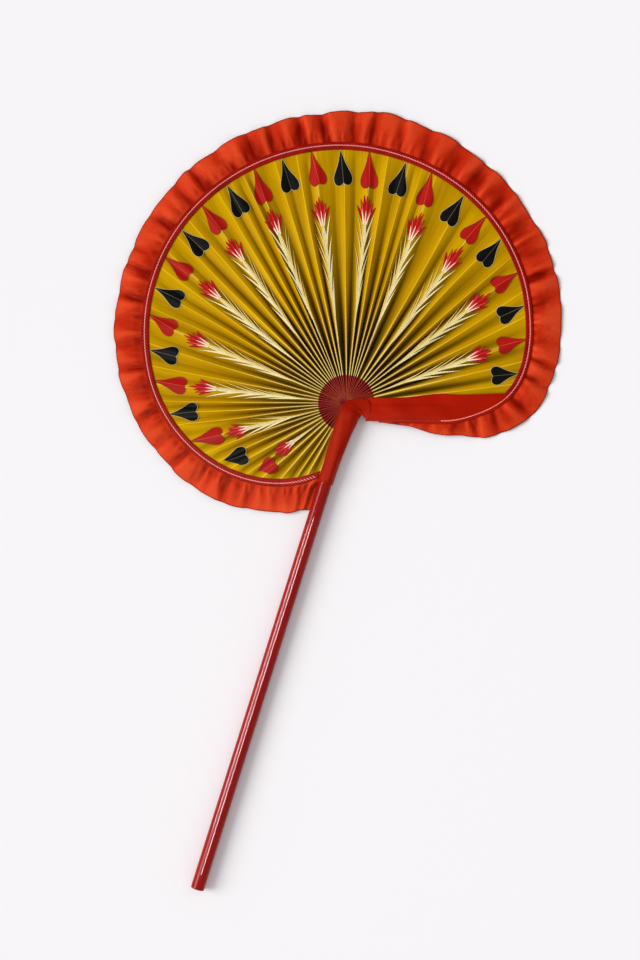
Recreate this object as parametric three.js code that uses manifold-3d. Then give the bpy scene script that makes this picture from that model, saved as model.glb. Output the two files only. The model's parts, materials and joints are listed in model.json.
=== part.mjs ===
import * as THREE from "three";
import { mergeVertices } from "three/addons/utils/BufferGeometryUtils.js";
import Module from "manifold-3d";

// Palm leaf hand fan lying on its back, in millimetres. +Y runs from the butt of the handle to
// the leaf, +X to the right and +Z up. While the pieces are made, the hub where the pleats meet
// is at x = 0, y = 0, and the surface that the fan lies on is at z = 0.

const wasm = await Module();
wasm.setup();

const { clamp, degToRad, lerp, smoothstep } = THREE.MathUtils;

// Fits
const clearance = 0.3;
const weld = 0.001;
const overrun = 2;

// Handle
const rodDiameter = 17;
const rodLength = 613;
const rodBevel = 1.6;
const rodTopBelowHub = 20;
const rodOffset = 4.4;
const rodSides = 28;

// Thread that lashes the leaf to the rod
const lashingCount = 4;
const lashingThread = 0.5;
const lashingWidth = 3;

// Cloth sleeve over the neck and round the elbow
const sleeveCloth = 0.6;
const sleeveTail = 7;
const elbowDrop = 22;
const elbowRise = 7.5;
const innerCornerDrop = 1;
const innerCornerShift = 4.4;
const seamHalfHeight = 4;
const elbowSteps = 10;
const sleeveSides = 24;

// Band along the free edge of the leaf, which leaves the elbow below and to the right of the hub
const elbowRight = 31;
const elbowBelow = 12.2;
const bandWidth = 27.5;
const bandSlope = degToRad(17);
const bandTopSlope = degToRad(19.6);
const bandCloth = 0.8;
const seamMargin = 1;
const ribInset = 6;
const ribWidth = 10;
const ribThickness = 3.2;
const ribTuck = 3;
const ribSteps = 8;
const bandSteps = 24;

// Outline of the leaf, on the stitch line: one large arc and a smaller one at each side, with a
// swell that follows the cut of the leaf
const mainRadius = 241;
const mainLeft = 36;
const mainAbove = 75;
const rightLobeRadius = 110;
const leftLobeRadius = 162.5;
const rimEndBelow = 91.2;
const rimSwell = 4;
const rimSwellShares = [
  [0, 0],
  [0.095, 0],
  [0.14, 1.05],
  [0.19, 0],
  [0.26, 0.83],
  [0.3, 0.9],
  [0.44, -0.17],
  [0.52, -0.43],
  [0.68, 0.16],
  [0.7, 0.13],
  [0.832, -0.65],
  [0.98, 1.24],
  [1, 1.1],
];

// Leaf
const leafThickness = 0.8;
const leafInset = 0.4;
const hubRadius = 2;
const hubThickness = 3;
const hubZone = 25;
const pleatCount = 48;
const pleatCrowdShare = 0.2;
const pleatRise = 4.2;
const pleatGrow = 110;
const pleatFade = 8;
const pleatRimFade = 14;
const pleatBandMargin = 10;
const roomBeyond = degToRad(1.5);
const leafRowShares = [0, 0.03, 0.08, 0.15, 0.25, 0.37, 0.5, 0.63, 0.76, 0.88, 1];

// Height of the leaf above the surface: level with the rod near the hub, lower towards the rim
const rimHeight = 5.5;
const slopeStart = 60;
const slopeEnd = 230;

// Tape and stitching on the rim
const tapeInside = 5.5;
const tapeOutside = 4;
const tapeCloth = 0.8;
const tapeGrow = 80;
const stitchWidth = 1.8;
const stitchHeight = 1;
const rimSteps = 100;
const rimViewSteps = 600;

// Ruffle
const ruffleWidth = 40;
const ruffleCloth = 0.8;
const ruffleStart = 30;
const ruffleWave = 4.3;
const ruffleEndTurn = 70;
const foldCount = 50;
const stepsPerFold = 4;
const ruffleWidthShares = [
  [0, 0],
  [0.04, 0.16],
  [0.065, 0.4],
  [0.1, 0.74],
  [0.14, 1.06],
  [0.18, 0.94],
  [0.26, 1.12],
  [0.4, 1.13],
  [0.48, 1],
  [0.6, 1.04],
  [0.7, 0.96],
  [0.81, 0.84],
  [0.9, 0.95],
  [1, 1.22],
];

// Colours
const lacquerRed = "#8c1c12";
const leafYellow = "#c39b00";
const threadBrown = "#8a6a48";
const clothRed = "#b21e12";
const caneTan = "#b89a62";
const tapeRed = "#8e1212";
const stitchPink = "#f0a096";
const ruffleRed = "#c42c16";

// Derived sizes
const rodRadius = rodDiameter / 2;
const rodTop = -rodTopBelowHub;
const rodButt = rodTop - rodLength;
const lashingInner = rodRadius + clearance;
const sleeveRadius = lashingInner + lashingThread + clearance + sleeveCloth;
const sleeveLeft = rodOffset - sleeveRadius;
const sleeveRight = rodOffset + sleeveRadius;
const axisHeight = sleeveRadius;
const ruffleMiddle = ruffleWave + ruffleCloth / 2;

// Outline

const bandDirection = new THREE.Vector2(Math.cos(bandSlope), Math.sin(bandSlope));
const bandInward = new THREE.Vector2(-Math.sin(bandSlope), Math.cos(bandSlope));
const elbow = new THREE.Vector2(elbowRight, -elbowBelow);
const mainCentre = new THREE.Vector2(-mainLeft, mainAbove);

// The straight run of the rim ends where it flows into an arc of the right lobe's radius that
// also flows into the main arc.
function straightRun() {
  const across = elbow.clone().addScaledVector(bandInward, rightLobeRadius).sub(mainCentre);
  const along = across.dot(bandDirection);
  const reach = mainRadius - rightLobeRadius;
  return Math.sqrt(along * along - across.lengthSq() + reach * reach) - along;
}

const bandRun = straightRun();
const rightCentre = elbow
  .clone()
  .addScaledVector(bandDirection, bandRun)
  .addScaledVector(bandInward, rightLobeRadius);
const rimEnd = new THREE.Vector2(sleeveLeft - clearance, -rimEndBelow);

// The left lobe flows out of the main arc and ends beside the sleeve.
function leftLobeCentre() {
  const toEnd = rimEnd.clone().sub(mainCentre);
  const apart = toEnd.length();
  const reach = mainRadius - leftLobeRadius;
  const along = (reach * reach - leftLobeRadius * leftLobeRadius + apart * apart) / (2 * apart);
  const aside = Math.sqrt(reach * reach - along * along);
  const unit = toEnd.divideScalar(apart);
  return mainCentre
    .clone()
    .addScaledVector(unit, along)
    .add(new THREE.Vector2(unit.y, -unit.x).multiplyScalar(aside));
}

function directionOf(from, to) {
  const angle = Math.atan2(to.y - from.y, to.x - from.x);
  return angle < 0 ? angle + 2 * Math.PI : angle;
}

const leftCentre = leftLobeCentre();
const rightJoin = directionOf(mainCentre, rightCentre);
const leftJoin = directionOf(mainCentre, leftCentre);
const rimEndAngle = directionOf(leftCentre, rimEnd);

const arcs = [
  { centre: rightCentre, radius: rightLobeRadius, from: bandSlope - Math.PI / 2, to: rightJoin },
  { centre: mainCentre, radius: mainRadius, from: rightJoin, to: leftJoin },
  { centre: leftCentre, radius: leftLobeRadius, from: leftJoin, to: rimEndAngle },
];
const rimLength = arcs.reduce((sum, arc) => sum + arc.radius * (arc.to - arc.from), bandRun);

// The share that a table of places and shares gives between two of its places.
function shareAt(table, place) {
  const next = Math.max(1, table.findIndex(([at]) => at >= place));
  const [fromPlace, fromShare] = table[next - 1];
  const [toPlace, toShare] = table[next];
  return { fromShare, toShare, along: (place - fromPlace) / (toPlace - fromPlace) };
}

// How far the stitch line stands outside the arcs.
function swellAt(distance) {
  const { fromShare, toShare, along } = shareAt(rimSwellShares, distance / rimLength);
  return rimSwell * lerp(fromShare, toShare, smoothstep(along, 0, 1));
}

// Point and outward direction of the arcs at a distance from the elbow.
function onArcs(distance) {
  if (distance <= bandRun)
    return {
      at: elbow.clone().addScaledVector(bandDirection, distance),
      out: bandInward.clone().negate(),
    };
  let left = distance - bandRun;
  const last = arcs[arcs.length - 1];
  const arc = arcs.find((each) => {
    const length = each.radius * (each.to - each.from);
    if (left <= length || each === last) return true;
    left -= length;
    return false;
  });
  const angle = arc.from + left / arc.radius;
  const out = new THREE.Vector2(Math.cos(angle), Math.sin(angle));
  return { at: arc.centre.clone().addScaledVector(out, arc.radius), out };
}

// Point and outward direction of the stitch line. Beside the sleeve, the direction swings to lie
// along the handle.
function rim(distance) {
  const { at, out } = onArcs(distance);
  const swing = smoothstep(distance, rimLength - ruffleEndTurn, rimLength);
  const alongHandle = new THREE.Vector2(0, -1);
  out.lerp(alongHandle, swing).normalize();
  return { at: at.addScaledVector(out, swellAt(distance)), out };
}

function besideRim(distance, offset) {
  const { at, out } = rim(distance);
  return at.addScaledVector(out, offset);
}

// Directions from the hub are turned clockwise from the handle, as angles of the leaf.
function leafDirection(angle) {
  return new THREE.Vector2(-Math.sin(angle), -Math.cos(angle));
}

function leafAngle(point) {
  const angle = Math.atan2(-point.x, -point.y);
  return angle < 0 ? angle + 2 * Math.PI : angle;
}

// The stitch line as seen from the hub, in the order in which the leaf's angle grows. The slant is
// the share of a step away from the hub that leads straight out of the rim.
const rimView = Array.from({ length: rimViewSteps + 1 }, (_, k) => {
  const { at, out } = rim(rimLength * (1 - k / rimViewSteps));
  const angle = leafAngle(at);
  return { angle, radius: at.length(), slant: out.dot(leafDirection(angle)) };
});

function viewAt(angle) {
  let low = 0;
  let high = rimViewSteps;
  while (high - low > 1) {
    const half = (low + high) >> 1;
    if (rimView[half].angle > angle) high = half;
    else low = half;
  }
  const along = clamp(
    (angle - rimView[low].angle) / (rimView[high].angle - rimView[low].angle),
    0,
    1,
  );
  return {
    radius: lerp(rimView[low].radius, rimView[high].radius, along),
    slant: lerp(rimView[low].slant, rimView[high].slant, along),
  };
}

// Distance from the hub to the stitch line.
function rimRadius(angle) {
  return viewAt(angle).radius;
}

// The band's upper edge, and its width measured square to the stitch line.
const bandTop = elbow.clone().addScaledVector(bandInward, bandWidth);
const bandTopNormal = new THREE.Vector2(-Math.sin(bandTopSlope), Math.cos(bandTopSlope));

function bandWidthAt(distance) {
  const { at, out } = rim(distance);
  return bandTop.clone().sub(at).dot(bandTopNormal) / -out.dot(bandTopNormal);
}

function bandLength() {
  let distance = bandRun;
  while (bandWidthAt(distance) > tapeInside) distance += clearance;
  return distance;
}

const bandEnd = bandLength();

// The free edge of the leaf runs from the hub to the upper side of the rib's outer end.
const ribTop = ribInset + ribWidth;
const ribEnd = elbow.clone().addScaledVector(bandDirection, bandRun);
const leafSpan = leafAngle(ribEnd.addScaledVector(bandInward, ribTop + clearance));

// Heights

function leafHeight(radius) {
  return lerp(axisHeight, rimHeight, smoothstep(radius, slopeStart, slopeEnd));
}

function leafHalf(radius) {
  return lerp(hubThickness, leafThickness, smoothstep(radius, 0, hubZone)) / 2;
}

function distanceToNeck(point) {
  const past = Math.max(0, point.y - rodTop);
  return Math.hypot(point.x - rodOffset, past) - sleeveRadius;
}

// The covered edge runs from the hub to the seam and on along the band's upper edge.
function distanceToBand(point) {
  const from = point.clone().sub(bandTop);
  if (from.x > 0) return from.dot(bandTopNormal);
  const share = clamp(point.dot(bandTop) / bandTop.lengthSq(), 0, 1);
  return point.distanceTo(bandTop.clone().multiplyScalar(share));
}

// Half the height of the pleats: none at the hub, the neck, the band and the rim.
function pleatHalf(radius, angle) {
  const point = leafDirection(angle).multiplyScalar(radius);
  const { radius: outer, slant } = viewAt(angle);
  const fromRim = (outer - radius) * slant - tapeInside - clearance;
  const share = Math.min(1, radius / outer);
  const beside = Math.min(
    distanceToNeck(point) - clearance,
    distanceToBand(point) - Math.min(pleatBandMargin, radius / 3),
  );
  return pleatRise * smoothstep(radius, 0, pleatGrow) * (1 - share * share) ** (3 / 4)
    * smoothstep(beside, 0, pleatFade) * smoothstep(fromRim, 0, pleatRimFade);
}

// Solids

// A closed body between an upper and a lower surface over one grid of plan points. Seen from
// above, the rows step to the left of the columns' direction.
function slab(columns, rows, surface) {
  const positions = [];
  const index = [];
  for (let i = 0; i <= columns; i++)
    for (let j = 0; j <= rows; j++) {
      const { at, low, high } = surface(i, j);
      positions.push(at.x, at.y, high, at.x, at.y, low);
    }
  const top = (i, j) => 2 * (i * (rows + 1) + j);
  const bottom = (i, j) => top(i, j) + 1;
  const quad = (a, b, c, d) => index.push(a, b, c, a, c, d);
  for (let i = 0; i < columns; i++) {
    for (let j = 0; j < rows; j++) {
      quad(top(i, j), top(i + 1, j), top(i + 1, j + 1), top(i, j + 1));
      quad(bottom(i, j), bottom(i, j + 1), bottom(i + 1, j + 1), bottom(i + 1, j));
    }
    quad(top(i, 0), bottom(i, 0), bottom(i + 1, 0), top(i + 1, 0));
    quad(top(i, rows), top(i + 1, rows), bottom(i + 1, rows), bottom(i, rows));
  }
  for (let j = 0; j < rows; j++) {
    quad(top(0, j), top(0, j + 1), bottom(0, j + 1), bottom(0, j));
    quad(top(columns, j), bottom(columns, j), bottom(columns, j + 1), top(columns, j + 1));
  }
  return new THREE.BufferGeometry()
    .setAttribute("position", new THREE.Float32BufferAttribute(positions, 3))
    .setIndex(index);
}

// A closed body through a row of rings that all have the same number of points.
function loft(rings) {
  const sides = rings[0].length;
  const positions = rings.flat().flatMap((point) => point.toArray());
  const index = [];
  for (let i = 0; i + 1 < rings.length; i++)
    for (let k = 0; k < sides; k++) {
      const next = (k + 1) % sides;
      const a = i * sides + k;
      const b = i * sides + next;
      index.push(a, b, b + sides, a, b + sides, a + sides);
    }
  const lastRing = (rings.length - 1) * sides;
  for (let k = 1; k + 1 < sides; k++) {
    index.push(0, k + 1, k);
    index.push(lastRing, lastRing + k, lastRing + k + 1);
  }
  return new THREE.BufferGeometry()
    .setAttribute("position", new THREE.Float32BufferAttribute(positions, 3))
    .setIndex(index);
}

function toSolid(geometry) {
  const bare = new THREE.BufferGeometry()
    .setAttribute("position", geometry.getAttribute("position"))
    .setIndex(geometry.index);
  const merged = mergeVertices(bare, weld);
  return new wasm.Manifold(
    new wasm.Mesh({
      numProp: 3,
      vertProperties: merged.attributes.position.array,
      triVerts: new Uint32Array(merged.index.array),
    }),
  );
}

function toGeometry(solid) {
  const { vertProperties, triVerts } = solid.getMesh();
  return new THREE.BufferGeometry()
    .setAttribute("position", new THREE.BufferAttribute(vertProperties, 3))
    .setIndex(new THREE.BufferAttribute(triVerts, 1));
}

// Leaf

// The leaf's pleats stand closest together at the tip, opposite the handle.
function pleatAngle(share) {
  const crowding = (pleatCrowdShare * Math.sin(2 * Math.PI * share)) / (2 * Math.PI);
  return leafSpan * (share + crowding);
}

function leafRadius(angle, row) {
  const outer = rimRadius(angle);
  if (row === leafRowShares.length) return outer - leafInset;
  return lerp(hubRadius, outer - tapeInside - clearance, leafRowShares[row]);
}

function makeLeaf(lashings) {
  const columns = 2 * pleatCount;
  const blade = slab(columns, leafRowShares.length, (i, j) => {
    const angle = pleatAngle(i / columns);
    const radius = leafRadius(angle, j);
    const fold = pleatHalf(radius, angle) * (i % 2 ? 1 : -1);
    const middle = leafHeight(radius) + fold;
    return {
      at: leafDirection(angle).multiplyScalar(radius),
      low: middle - leafHalf(radius),
      high: middle + leafHalf(radius),
    };
  });
  let solid = toSolid(blade);
  for (const place of lashings) solid = solid.subtract(toSolid(lashingRing(place, clearance)));
  return toGeometry(solid);
}

// The room that the leaf takes, with a clearance, which the rod and the sleeve leave open.
function leafRoom() {
  const columns = 2 * pleatCount;
  const rows = leafRowShares.length;
  return toSolid(
    slab(columns, rows, (i, j) => {
      const share = i / columns;
      const leafAt = pleatAngle(share);
      const inner = j ? 0 : hubRadius / 2;
      const radius = leafRadius(leafAt, j) - inner + (j === rows ? overrun : 0);
      const half = pleatHalf(radius, leafAt) + leafHalf(radius) + clearance;
      const middle = leafHeight(radius);
      return {
        at: leafDirection(leafAt + lerp(-roomBeyond, roomBeyond, share)).multiplyScalar(radius),
        low: middle - half,
        high: middle + half,
      };
    }),
  );
}

// Handle and lashings

function makeRod(room) {
  const profile = [
    [0, rodButt],
    [rodRadius - rodBevel, rodButt],
    [rodRadius - rodBevel / 4, rodButt + rodBevel / 3],
    [rodRadius, rodButt + rodBevel],
    [rodRadius, rodTop - rodBevel],
    [rodRadius - rodBevel, rodTop],
    [0, rodTop],
  ].map(([x, y]) => new THREE.Vector2(x, y));
  const rod = new THREE.LatheGeometry(profile, rodSides).translate(rodOffset, 0, axisHeight);
  return toGeometry(toSolid(rod).subtract(room));
}

function lashingRing(place, extra) {
  const inner = lashingInner - extra / 2;
  const outer = lashingInner + lashingThread + extra / 2;
  const half = lashingWidth / 2 + extra / 2;
  const profile = [
    [inner, place - half],
    [outer, place - half],
    [outer, place + half],
    [inner, place + half],
    [inner, place - half],
  ].map(([x, y]) => new THREE.Vector2(x, y));
  return new THREE.LatheGeometry(profile, rodSides).translate(rodOffset, 0, axisHeight);
}

// The lashings share out the length of rod that the leaf lies against.
function lashingPlaces() {
  const low = -leafRadius(0, leafRowShares.length);
  return Array.from({ length: lashingCount }, (_, k) =>
    lerp(rodTop, low, (k + 1 / 2) / lashingCount),
  );
}

// Sleeve

const sleeveBottom = -rimEndBelow - tapeOutside - sleeveTail;
const elbowStart = -elbowDrop;

const outerTurn = new THREE.QuadraticBezierCurve(
  new THREE.Vector2(sleeveLeft, elbowStart),
  new THREE.Vector2(sleeveLeft, elbowRise),
  bandTop,
);
const innerTurn = new THREE.QuadraticBezierCurve(
  new THREE.Vector2(sleeveRight, elbowStart - innerCornerShift),
  new THREE.Vector2(sleeveRight + innerCornerShift, -innerCornerDrop),
  elbow.clone().addScaledVector(bandInward, -seamMargin),
);

// An upright ring over the plan line between two sides of the sleeve.
function sleeveRing(left, right, halfHeight, inset) {
  const centre = left.clone().add(right).divideScalar(2);
  const half = left.clone().sub(right).divideScalar(2);
  half.setLength(half.length() - inset);
  return Array.from({ length: sleeveSides }, (_, k) => {
    const turn = (2 * Math.PI * k) / sleeveSides;
    const across = half.clone().multiplyScalar(Math.cos(turn)).add(centre);
    return new THREE.Vector3(
      across.x,
      across.y,
      axisHeight + (halfHeight - inset) * Math.sin(turn),
    );
  });
}

function sleeveBody(inset, extra) {
  const rings = [sleeveBottom - extra, elbowStart - innerCornerShift].map((y) =>
    sleeveRing(
      new THREE.Vector2(sleeveLeft, y),
      new THREE.Vector2(sleeveRight, y),
      sleeveRadius,
      inset,
    ),
  );
  for (let k = 1; k <= elbowSteps; k++) {
    const share = k / elbowSteps;
    const halfHeight = lerp(sleeveRadius, seamHalfHeight, smoothstep(share, 0, 1));
    rings.push(
      sleeveRing(outerTurn.getPoint(share), innerTurn.getPoint(share), halfHeight, inset),
    );
  }
  if (extra > 0) {
    const onward = bandDirection.clone().multiplyScalar(extra);
    const left = outerTurn.getPoint(1).add(onward);
    const right = innerTurn.getPoint(1).add(onward);
    rings.push(sleeveRing(left, right, seamHalfHeight, inset));
  }
  return toSolid(loft(rings));
}

function makeSleeve(room) {
  return toGeometry(sleeveBody(0, 0).subtract(sleeveBody(sleeveCloth, overrun)).subtract(room));
}

// Band: a rib of split cane and a facing of cloth on each side

function makeRib() {
  return slab(ribSteps, 1, (i, j) => {
    const distance = lerp(-ribTuck, bandRun - clearance, i / ribSteps);
    const at = elbow
      .clone()
      .addScaledVector(bandDirection, distance)
      .addScaledVector(bandInward, j ? ribTop : ribInset);
    const middle = leafHeight(at.length());
    return { at, low: middle - ribThickness / 2, high: middle + ribThickness / 2 };
  });
}

// How far the cloth reaches outside the stitch line: least at the elbow.
function clothOutside(distance) {
  return lerp(seamMargin, tapeOutside, smoothstep(distance, 0, tapeGrow));
}

// A layer on the upper side, 1, or the lower side, -1, that starts a given way off the middle.
function layer(at, side, near, thickness) {
  const middle = leafHeight(at.length());
  const heights = [middle + side * near, middle + side * (near + thickness)];
  return { at, low: Math.min(...heights), high: Math.max(...heights) };
}

// A facing lies close to the leaf and the ruffle at its edges and passes over the rib between.
function makeFacing(side) {
  const overRib = (ribThickness - leafThickness) / 2;
  return slab(bandSteps, 4, (i, j) => {
    const distance = lerp(clearance, bandEnd, i / bandSteps);
    const width = bandWidthAt(distance);
    const offsets = [
      clothOutside(distance),
      -Math.min(seamMargin + stitchWidth / 2, width / 5),
      -Math.min(ribInset - clearance, width / 3),
      -Math.min(ribTop + clearance, (3 * width) / 4),
      -width,
    ];
    const at = besideRim(distance, offsets[j]);
    const rise = 1 - smoothstep(distance, bandRun, bandRun + ribTop);
    const lift = j === 2 || j === 3 ? overRib * rise : 0;
    return layer(at, side, leafHalf(at.length()) + clearance + lift, bandCloth);
  });
}

// Rim tape and stitching

function makeTape(side) {
  return slab(rimSteps, 1, (i, j) => {
    const distance = lerp(bandEnd + clearance, rimLength, i / rimSteps);
    const at = besideRim(distance, j ? -tapeInside : tapeOutside);
    return layer(at, side, leafThickness / 2 + clearance, tapeCloth);
  });
}

function makeStitching(side) {
  const near = leafThickness / 2 + clearance + Math.max(tapeCloth, bandCloth) + clearance;
  return slab(rimSteps, 1, (i, j) => {
    const distance = lerp(stitchWidth, rimLength, i / rimSteps);
    const at = besideRim(distance, j ? -stitchWidth / 2 : stitchWidth / 2);
    return layer(at, side, near, stitchHeight);
  });
}

// Ruffle

function ruffleWidthAt(distance) {
  const { fromShare, toShare, along } = shareAt(ruffleWidthShares, distance / rimLength);
  return ruffleWidth * lerp(fromShare, toShare, along) - swellAt(distance);
}

// The ruffle is flat where the tapes clamp it, and its folds deepen towards the hem, where the
// lowest of them touch the surface.
function makeRuffle() {
  const columns = foldCount * stepsPerFold;
  return slab(columns, 2, (i, j) => {
    const distance = lerp(ruffleStart, rimLength, i / columns);
    const width = ruffleWidthAt(distance);
    const at = besideRim(distance, [width, clothOutside(distance) + clearance, leafInset][j]);
    const flat = leafHeight(at.length());
    const open = j ? 0 : Math.min(1, width / ruffleWidth);
    const wave = Math.sin((2 * Math.PI * i) / stepsPerFold);
    const middle = lerp(flat, ruffleMiddle, open) + ruffleWave * open * wave;
    return { at, low: middle - ruffleCloth / 2, high: middle + ruffleCloth / 2 };
  });
}

// Assembly

const fan = new THREE.Group();

function addPiece(name, geometry, color, roughness) {
  const material = new THREE.MeshStandardMaterial({ color, roughness, metalness: 0 });
  const mesh = new THREE.Mesh(geometry, material);
  mesh.name = name;
  fan.add(mesh);
}

const room = leafRoom();
const lashings = lashingPlaces();
addPiece("handle_rod", makeRod(room), lacquerRed, 0.15);
addPiece("leaf_blade", makeLeaf(lashings), leafYellow, 0.45);
lashings.forEach((place, k) =>
  addPiece("leaf_lashing_" + (k + 1), lashingRing(place, 0), threadBrown, 0.8),
);
addPiece("neck_sleeve", makeSleeve(room), clothRed, 0.4);
addPiece("band_rib", makeRib(), caneTan, 0.6);
for (const [side, word] of [
  [1, "front"],
  [-1, "back"],
]) {
  addPiece("band_facing_" + word, makeFacing(side), clothRed, 0.4);
  addPiece("rim_tape_" + word, makeTape(side), tapeRed, 0.5);
  addPiece("rim_stitching_" + word, makeStitching(side), stitchPink, 0.6);
}
addPiece("ruffle", makeRuffle(), ruffleRed, 0.4);

// The part's origin is the middle of its base.
const box = new THREE.Box3().setFromObject(fan);
const middle = box.getCenter(new THREE.Vector3());
fan.position.set(-middle.x, -middle.y, -box.min.z);

const part = new THREE.Group();
part.add(fan);

export default part;
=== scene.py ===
import json
import math

import bpy
import numpy as np
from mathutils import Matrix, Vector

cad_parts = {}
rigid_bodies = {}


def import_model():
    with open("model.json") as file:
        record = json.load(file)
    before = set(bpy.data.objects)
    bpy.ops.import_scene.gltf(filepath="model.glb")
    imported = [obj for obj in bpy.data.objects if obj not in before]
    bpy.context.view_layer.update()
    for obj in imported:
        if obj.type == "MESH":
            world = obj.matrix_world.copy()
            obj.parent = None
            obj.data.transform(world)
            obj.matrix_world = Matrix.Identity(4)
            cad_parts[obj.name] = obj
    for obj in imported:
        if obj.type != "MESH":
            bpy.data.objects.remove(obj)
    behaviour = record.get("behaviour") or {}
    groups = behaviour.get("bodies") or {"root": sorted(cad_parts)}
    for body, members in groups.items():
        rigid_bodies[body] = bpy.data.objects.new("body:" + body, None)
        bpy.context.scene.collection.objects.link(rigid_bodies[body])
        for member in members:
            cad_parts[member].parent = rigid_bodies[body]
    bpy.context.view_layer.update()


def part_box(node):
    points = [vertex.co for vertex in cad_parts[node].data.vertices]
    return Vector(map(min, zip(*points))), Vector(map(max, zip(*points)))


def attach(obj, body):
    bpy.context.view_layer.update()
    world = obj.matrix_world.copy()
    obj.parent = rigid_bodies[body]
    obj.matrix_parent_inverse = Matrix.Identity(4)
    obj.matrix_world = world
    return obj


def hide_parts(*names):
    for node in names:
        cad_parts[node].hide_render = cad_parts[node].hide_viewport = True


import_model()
mm = 0.001

# Plan of the fan
# Millimetres from the hub, +Y up the handle, heights above the surface that the fan lies on.

plan = {
    "rodOffset": 4.4, "rodTopBelowHub": 20, "rodRadius": 8.5, "axisHeight": 10.2,
    "mainRadius": 241, "mainLeft": 36, "mainAbove": 75,
    "rightLobe": 110, "leftLobe": 162.5, "rimEnd": (-6.1, -91.2),
    "elbow": (31, -12.2), "bandSlope": 17, "bandTopSlope": 19.6, "bandWidth": 27.5,
    "rimSwell": 4, "rimSwellShares": [
        (0, 0), (0.095, 0), (0.14, 1.05), (0.19, 0), (0.26, 0.83), (0.3, 0.9), (0.44, -0.17),
        (0.52, -0.43), (0.68, 0.16), (0.7, 0.13), (0.832, -0.65), (0.98, 1.24), (1, 1.1)],
    "endSwing": 70, "viewSteps": 2400,
    "rimHeight": 5.5, "slopeStart": 60, "slopeEnd": 230,
    "tapeInside": 5.5, "tapeOutside": 4, "seamMargin": 1, "tapeGrow": 80,
}

rodLow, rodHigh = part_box("handle_rod")
hub = np.array([
    (rodLow[0] + rodHigh[0]) / 2 - plan["rodOffset"] * mm,
    rodHigh[1] + plan["rodTopBelowHub"] * mm,
    0,
])


def smooth(x, low, high):
    t = np.clip((x - low) / (high - low), 0, 1)
    return t * t * (3 - 2 * t)


def mix(a, b, t):
    return a + (b - a) * t


def table(pairs, place):
    # reads a table of places and values
    return np.interp(place, *np.array(pairs).T)


def curveThrough(points, places):
    # a soft curve through the points, read at places from 0 to 1
    points = np.array(points, float)
    ends = np.vstack([2 * points[0] - points[1], points, 2 * points[-1] - points[-2]])
    along = np.clip(np.asarray(places, float), 0, 1) * (len(points) - 1)
    first = np.minimum(along.astype(int), len(points) - 2)
    t = (along - first)[..., None]
    a, b, c, d = (ends[first + k] for k in range(4))
    return 0.5 * (2 * b + (c - a) * t + (2 * a - 5 * b + 4 * c - d) * t**2
                  + (3 * b - a - 3 * c + d) * t**3)


slope = math.radians(plan["bandSlope"])
bandDirection = np.array([math.cos(slope), math.sin(slope)])
bandInward = np.array([-math.sin(slope), math.cos(slope)])
elbow = np.array(plan["elbow"])
mainCentre = np.array([-plan["mainLeft"], plan["mainAbove"]])


def straightRun():
    across = elbow + bandInward * plan["rightLobe"] - mainCentre
    along = across @ bandDirection
    reach = plan["mainRadius"] - plan["rightLobe"]
    return math.sqrt(along**2 - across @ across + reach**2) - along


def leftLobeCentre():
    toEnd = np.array(plan["rimEnd"]) - mainCentre
    apart = math.hypot(*toEnd)
    reach = plan["mainRadius"] - plan["leftLobe"]
    along = (reach**2 - plan["leftLobe"]**2 + apart**2) / (2 * apart)
    unit = toEnd / apart
    aside = np.array([unit[1], -unit[0]]) * math.sqrt(reach**2 - along**2)
    return mainCentre + unit * along + aside


def directionOf(start, end):
    return math.atan2(end[1] - start[1], end[0] - start[0]) % (2 * math.pi)


bandRun = straightRun()
rightCentre = elbow + bandDirection * bandRun + bandInward * plan["rightLobe"]
leftCentre = leftLobeCentre()
rightJoin = directionOf(mainCentre, rightCentre)
leftJoin = directionOf(mainCentre, leftCentre)
arcs = [
    (rightCentre, plan["rightLobe"], slope - math.pi / 2, rightJoin),
    (mainCentre, plan["mainRadius"], rightJoin, leftJoin),
    (leftCentre, plan["leftLobe"], leftJoin, directionOf(leftCentre, plan["rimEnd"])),
]
rimLength = bandRun + sum(radius * (to - start) for _, radius, start, to in arcs)


def onArcs(distance):
    # place and outward direction of the arcs, at distances from the elbow
    at = elbow + bandDirection * distance[..., None]
    out = np.broadcast_to(-bandInward, at.shape).copy()
    begin = bandRun
    for k, (centre, radius, start, to) in enumerate(arcs):
        turn = start + (distance - begin) / radius
        here = (distance > begin)[..., None]
        away = np.stack([np.cos(turn), np.sin(turn)], -1)
        at = np.where(here, centre + radius * away, at)
        out = np.where(here, away, out)
        begin += radius * (to - start)
    return at, out


def swellAt(distance):
    # how far the stitch line stands outside the arcs
    places, shares = np.array(plan["rimSwellShares"]).T
    place = distance / rimLength
    k = np.clip(np.searchsorted(places, place) - 1, 0, len(places) - 2)
    return plan["rimSwell"] * mix(shares[k], shares[k + 1], smooth(place, places[k], places[k + 1]))


def rim(distance):
    # the stitch line; beside the sleeve, its outward direction swings to lie along the handle
    distance = np.asarray(distance, float)
    at, out = onArcs(distance)
    swing = smooth(distance, rimLength - plan["endSwing"], rimLength)[..., None]
    out = mix(out, np.array([0, -1.0]), swing)
    out = out / np.linalg.norm(out, axis=-1, keepdims=True)
    return at + out * swellAt(distance)[..., None], out


def besideRim(distance, offset):
    at, out = rim(distance)
    return at + out * np.asarray(offset)[..., None]


def leafDirection(angle):
    return np.stack([-np.sin(angle), -np.cos(angle)], -1)


def leafAngle(at):
    return np.arctan2(-at[..., 0], -at[..., 1]) % (2 * math.pi)


rimView, _ = rim(rimLength * np.linspace(1, 0, plan["viewSteps"] + 1))


def rimRadius(angle):
    # distance from the hub to the stitch line
    return np.interp(angle, leafAngle(rimView), np.linalg.norm(rimView, axis=-1))


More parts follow.
